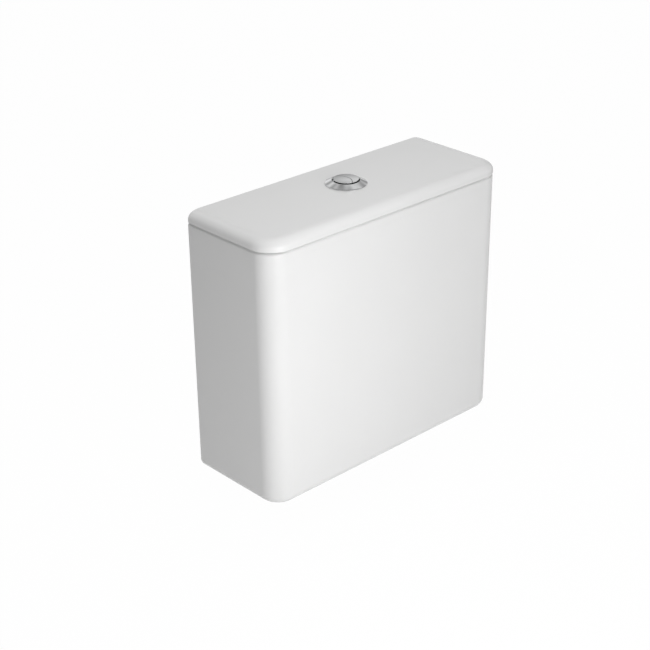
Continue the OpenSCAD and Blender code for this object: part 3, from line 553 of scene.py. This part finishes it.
# Float
# A hollow moulded cup that slides on the riser and pushes the blue lever up through a thin rod, so that the
# water shuts off.
moulded("float_cup", "float_bell", 1 * MM, pale_plastic, 3)
moulded("float_rod", "float_push_rod", 0.4 * MM, white_plastic)
moulded("float_lever", "float_arm", 0.5 * MM, blue_plastic)
moulded("float_pin", "steel_float_pin", 0.3 * MM, steel)

# Lid
# A loose china cover, hollow underneath, with a soft roll along its front and ends and a square back. A rib
# below drops inside the rim so that it can't slide off.
lid_low, lid_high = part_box("lid")
lid_top = lid_high.z
lid_seat = rim_z + 0.3 * MM
lid_ceiling = lid_top - 10.5 * MM
lid_corner_r = 30 * MM
lid_edge_r = 1.5 * MM
shadow_gap = 0.8 * MM
rebate_w = 5 * MM
roll_w = 15 * MM
roll_h = 9.5 * MM
back_roll = 3 * MM
lid_back_corner_r = 6 * MM
least_corner_r = 0.5 * MM
rib_inset = wall + 1.5 * MM
rib_w = 6 * MM
rib_r = 1.5 * MM
ceiling_r = 3 * MM
button_hole_r = 21 * MM


def lid_ring(bm, z, inset, back_inset):
    """Ring of the lid's outside at a level, drawn in by inset and at the back by back_inset."""
    return plan_ring(bm, lid_high.x - inset, lid_low.y + inset, lid_high.y - back_inset, lid_corner_r - inset,
                     max(lid_back_corner_r - back_inset, least_corner_r), z)


def rib_ring(bm, level, inset):
    """Ring of the rib and hollow under the lid, drawn in from the tank's outer faces."""
    return inner_ring(bm, rim_z, inset, level)


lid_bm = bmesh.new()
top_roll = [lid_ring(lid_bm, lid_top - roll_h * (1 - s), roll_w * (1 - c), back_roll * (1 - c))
            for s, c in reversed(quarter(14))]
lower_edge = [lid_ring(lid_bm, lid_seat + shadow_gap + lid_edge_r * (1 - c), lid_edge_r * (1 - s), 0)
              for s, c in reversed(quarter(7))]
rebate = [lid_ring(lid_bm, lid_seat + shadow_gap - rim_crown, rebate_w, rebate_w),
          lid_ring(lid_bm, lid_seat, rebate_w + shadow_gap / 2, rebate_w + shadow_gap / 2)]
rib_root = [rib_ring(lid_bm, lid_seat - rim_crown, rib_inset)]
rib_foot = [rib_ring(lid_bm, lid_low.z + rib_r * (1 - s), rib_inset + rib_r * (1 - c)) for s, c in quarter(5)]
rib_back = [rib_ring(lid_bm, lid_low.z + rim_crown + rib_r * (1 - c), rib_inset + rib_w - rib_r * (1 - s))
            for s, c in quarter(5)]
hollow = [rib_ring(lid_bm, lid_ceiling - ceiling_r * (1 - s), rib_inset + rib_w + ceiling_r * (1 - c))
          for s, c in quarter(6)]
skin(lid_bm, top_roll + lower_edge + rebate + rib_root + rib_foot + rib_back + hollow)
lid = piece_from(lid_bm, "china_lid", "lid", china)
carve(lid, upright_drums([(0, button_hole_r, lid_ceiling - 5 * MM, lid_top + 5 * MM)]))
even_shading(lid)

# Push button body
# A chromed bezel with a threaded sleeve, dropped through the hole in the lid and held by a rubber washer and
# a white ring nut from below. A plate inside the sleeve carries the return springs.
chrome = finish("bright_chrome", ((0.80, 0.805, 0.81), (0.75, 0.755, 0.76)), (0.05, 0.09), 0.02, 60, 1500,
                0.3, metallic=1.0)
chrome_sharp_deg = 25
sleeve_r = 20 * MM
sleeve_pitch = 2 * MM
sleeve_bore_r = 18.8 * MM
bezel_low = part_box("button_bezel")[0]
bezel_bm = bmesh.new()
turned(bezel_bm, [(r * MM, lid_top + z * MM) for r, z in (
    (16, -4), (18.4, -4), (18.4, -42), (16.4, -42), (16.4, -44), (19.2, -44), (19.2, -1), (20, -0.2), (20, 0),
    (24.6, 0), (25, 0.35), (25, 0.75), (24.75, 1.1), (24.2, 1.45), (17.8, 4.62), (17.3, 4.88), (16.9, 5),
    (16.3, 4.8), (16, 4.3))], steps=round_steps)
bezel = piece_from(bezel_bm, "chrome_bezel", "button_bezel", chrome, chrome_sharp_deg)
carve(bezel, thread_on(sleeve_r, sleeve_pitch, bezel_low.z + 0.4 * MM, lid_ceiling - 1.6 * MM,
                       steps=round_steps, bore=sleeve_bore_r), "UNION", chrome_sharp_deg)
moulded("lid_washer", "bezel_washer", 0.3 * MM, rubber)
moulded("lid_nut", "bezel_ring_nut", 0.6 * MM, white_plastic)
moulded("spring_plate", "spring_carrier", 0.3 * MM, white_plastic)

# Return springs
# Six curls of steel wire under each half of the button. They stand on the plate. The real springs shorten as
# the button is pressed; here each is one coil drawn at the length of its part.
wire_r = 0.45 * MM
coil_r = 3.2 * MM
coil_turns = 6
coil_steps = 28
for half in ("full", "half"):
    coil_low, coil_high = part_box(half + "_spring")
    coil_x = (coil_low.x + coil_high.x) / 2
    climb = coil_high.z - coil_low.z - 2 * wire_r
    coil_bm = bmesh.new()
    stand = Matrix.Translation((coil_r, 0, coil_low.z + wire_r)) @ Matrix.Rotation(math.pi / 2, 4, "X")
    ring = bmesh.ops.create_circle(coil_bm, segments=12, radius=wire_r, matrix=stand)["verts"]
    ring_edges = coil_bm.edges[:]
    steps = coil_turns * coil_steps
    end = bmesh.ops.spin(coil_bm, geom=ring + ring_edges, cent=(0, 0, 0), axis=(0, 0, 1),
                         dvec=(0, 0, climb / steps), angle=2 * math.pi * coil_turns, steps=steps)["geom_last"]
    bmesh.ops.edgeloop_fill(coil_bm, edges=ring_edges)
    bmesh.ops.edgeloop_fill(coil_bm, edges=[g for g in end if isinstance(g, bmesh.types.BMEdge)])
    bmesh.ops.translate(coil_bm, verts=coil_bm.verts, vec=(coil_x, 0, 0))
    spring = piece_from(coil_bm, half + "_return_spring", half + "_spring", steel)
    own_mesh(spring)

# Buttons
# One chromed cap, cut in two by a curved split: the larger left half flushes fully, the crescent on the right
# by half. Each carries a blue push rod that reaches down to its lever.
# These lengths are in millimetres, with heights from the lid's top.
button_r = 15
button_edge = 6.3
button_crown = 0.6
plate_t = 0.7
neck_r = 14.3
split_r = 18.5
split_x = -16
split_gap = 0.5
skirt_r = 17.9
skirt_top = -4.3
skirt_low = -23.3
crown_steps = 9
button_merge = 0.1
button_corner_r = 0.35
button_corner_deg = 50
for half, operation, cut_r in (("full", "INTERSECT", split_r), ("half", "DIFFERENCE", split_r + split_gap)):
    button_bm = bmesh.new()
    crown = [(button_r * a / crown_steps, button_edge + button_crown * (1 - (a / crown_steps) ** 2))
             for a in range(crown_steps)]
    turned(button_bm, [(r * MM, lid_top + z * MM) for r, z in crown + [
        (button_r, button_edge), (button_r, button_edge - plate_t), (neck_r, button_edge - plate_t),
        (neck_r, skirt_top), (skirt_r, skirt_top), (skirt_r, skirt_low), (0, skirt_low)]],
        steps=round_steps)
    button = piece_from(button_bm, half + "_flush_cap", half + "_button", chrome, chrome_sharp_deg)
    split_bm = upright_drums([(split_x * MM, cut_r * MM, lid_top - 30 * MM, lid_top + 10 * MM)])
    carve(button, split_bm, operation, chrome_sharp_deg)
    button_bm = bmesh.new()
    button_bm.from_mesh(button.data)
    bmesh.ops.remove_doubles(button_bm, verts=button_bm.verts, dist=button_merge * MM)
    round_corners(button_bm, button_corner_r * MM, 3, button_corner_deg)
    button_bm.to_mesh(button.data)
    button_bm.free()
    button.data.set_sharp_from_angle(angle=math.radians(chrome_sharp_deg))
    even_shading(button)
    moulded(half + "_push_rod", half + "_flush_rod", 0.3 * MM, blue_plastic)

# Studio floor and light
# A white floor in a white studio, with soft lamps in front, at the front left corner, at the left and above.
# The room's light is stronger from behind and the right, and metal mirrors lighter and darker panels in it.
floor_z = cad_box[0].z - 0.5 * MM
floor_half = 12
floor_whiteness = 0.985
floor_mirrored = 0.5
floor_bm = bmesh.new()
bmesh.ops.create_grid(floor_bm, x_segments=1, y_segments=1, size=floor_half,
                      matrix=Matrix.Translation((0, 0, floor_z)))
floor_mesh = bpy.data.meshes.new("floor")
floor_bm.to_mesh(floor_mesh)
floor_bm.free()
floor = bpy.data.objects.new("floor", floor_mesh)
bpy.context.scene.collection.objects.link(floor)


def seen_share(tree, camera, mirrored):
    """Socket that is one share for camera rays, and another for rays that metal and glass send out."""
    path = tree.nodes.new("ShaderNodeLightPath").outputs
    bounced = math_node(tree, "MAXIMUM", path["Is Glossy Ray"], path["Is Transmission Ray"])
    straight = math_node(tree, "MULTIPLY", path["Is Camera Ray"], camera)
    return math_node(tree, "ADD", straight, math_node(tree, "MULTIPLY", bounced, mirrored))


def blended(tree, share, base, other):
    """Socket of a shader that goes over into another by a share."""
    mix = tree.nodes.new("ShaderNodeMixShader")
    tree.links.new(share, mix.inputs["Fac"])
    tree.links.new(base, mix.inputs[1])
    tree.links.new(other, mix.inputs[2])
    return mix.outputs["Shader"]


def towards(tree, place, direction):
    """Socket that grows as a direction socket turns towards a vector."""
    dot = tree.nodes.new("ShaderNodeVectorMath")
    dot.operation = "DOT_PRODUCT"
    dot.inputs[1].default_value = direction
    tree.links.new(place, dot.inputs[0])
    return dot.outputs["Value"]


floor_look = bpy.data.materials.new("white_floor")
floor_look.use_nodes = True
tree = floor_look.node_tree
paint = tree.nodes["Principled BSDF"]
paint.inputs["Base Color"].default_value = (0.9, 0.9, 0.9, 1)
paint.inputs["Roughness"].default_value = 0.9
glow = tree.nodes.new("ShaderNodeEmission")
glow.inputs["Color"].default_value = (1, 1, 1, 1)
glow.inputs["Strength"].default_value = 1.0
whitened = blended(tree, seen_share(tree, floor_whiteness, floor_mirrored), paint.outputs["BSDF"],
                   glow.outputs["Emission"])
tree.links.new(whitened, tree.nodes["Material Output"].inputs["Surface"])
floor_mesh.materials.append(floor_look)

world = bpy.data.worlds.new("studio")
bpy.context.scene.world = world
world.use_nodes = True
tree = world.node_tree
room = tree.nodes["Background"]
room.inputs["Color"].default_value = (1, 1, 1, 1)
around = tree.nodes.new("ShaderNodeTexCoord").outputs["Generated"]
room_light = map_range(tree, towards(tree, around, (0.7, 0.7, -0.1)), (-0.2, 1), (0.12, 0.75))
room_light.interpolation_type = "SMOOTHSTEP"
tree.links.new(room_light.outputs["Result"], room.inputs["Strength"])
backdrop = map_range(tree, towards(tree, around, (0.66, 0.70, 0.28)), (-1, 1), (0.1, 0.8))
panels = map_range(tree, noise(tree, around, 3, 0).outputs["Fac"], (0.3, 0.7), (0.5, 1.45))
mirrored_light = math_node(tree, "MULTIPLY", backdrop.outputs["Result"], panels.outputs["Result"])
mirrored_room = tree.nodes.new("ShaderNodeBackground")
tree.links.new(mirrored_light, mirrored_room.inputs["Strength"])
white = tree.nodes.new("ShaderNodeBackground")
white.inputs["Color"].default_value = (1, 1, 1, 1)
lit = blended(tree, seen_share(tree, 0, 1), room.outputs["Background"], mirrored_room.outputs["Background"])
shown = blended(tree, seen_share(tree, 1, 0), lit, white.outputs["Background"])
tree.links.new(shown, tree.nodes["World Output"].inputs["Surface"])


def soft_lamp(name, place, aim, width, height, power, mirrored=True):
    """Rectangular area lamp that faces a point."""
    data = bpy.data.lights.new(name, "AREA")
    data.shape = "RECTANGLE"
    data.size = width
    data.size_y = height
    data.energy = power
    lamp = bpy.data.objects.new(name, data)
    lamp.location = place
    lamp.visible_glossy = mirrored
    lamp.rotation_euler = (Vector(aim) - Vector(place)).to_track_quat("-Z", "Y").to_euler()
    bpy.context.scene.collection.objects.link(lamp)


soft_lamp("front_lamp", (-0.17, -1.30, 0.50), (-0.10, 0, 0.2), 0.5, 0.8, 5.1)
soft_lamp("corner_lamp", (-0.30, -0.60, 0.30), (-0.15, 0, 0.2), 0.25, 0.5, 1.1)
soft_lamp("left_lamp", (-0.75, -0.35, 0.25), (-0.18, 0, 0.2), 0.4, 0.5, 0.4)
soft_lamp("top_lamp", (0, 0, 1.5), (0, 0, 0.3), 1.0, 0.6, 4.3, False)
soft_lamp("top_left_lamp", (-0.3, -0.2, 1.3), (0, 0, 0.3), 0.6, 0.6, 2.4, False)

# Camera
# It stands left of the front and above, as for a catalogue picture, with a long lens.
camera_data = bpy.data.cameras.new("camera")
camera_data.sensor_width = 36
camera_data.lens = 84.904
camera_data.shift_x = -0.04846
camera_data.shift_y = 0.00293
camera = bpy.data.objects.new("camera", camera_data)
camera.location = (-1.15119, -1.20682, 0.96152)
camera.rotation_euler = Vector((0.62463, 0.64541, -0.43963)).to_track_quat("-Z", "Y").to_euler()
bpy.context.scene.collection.objects.link(camera)
bpy.context.scene.camera = camera
bpy.context.scene.view_settings.view_transform = "Standard"
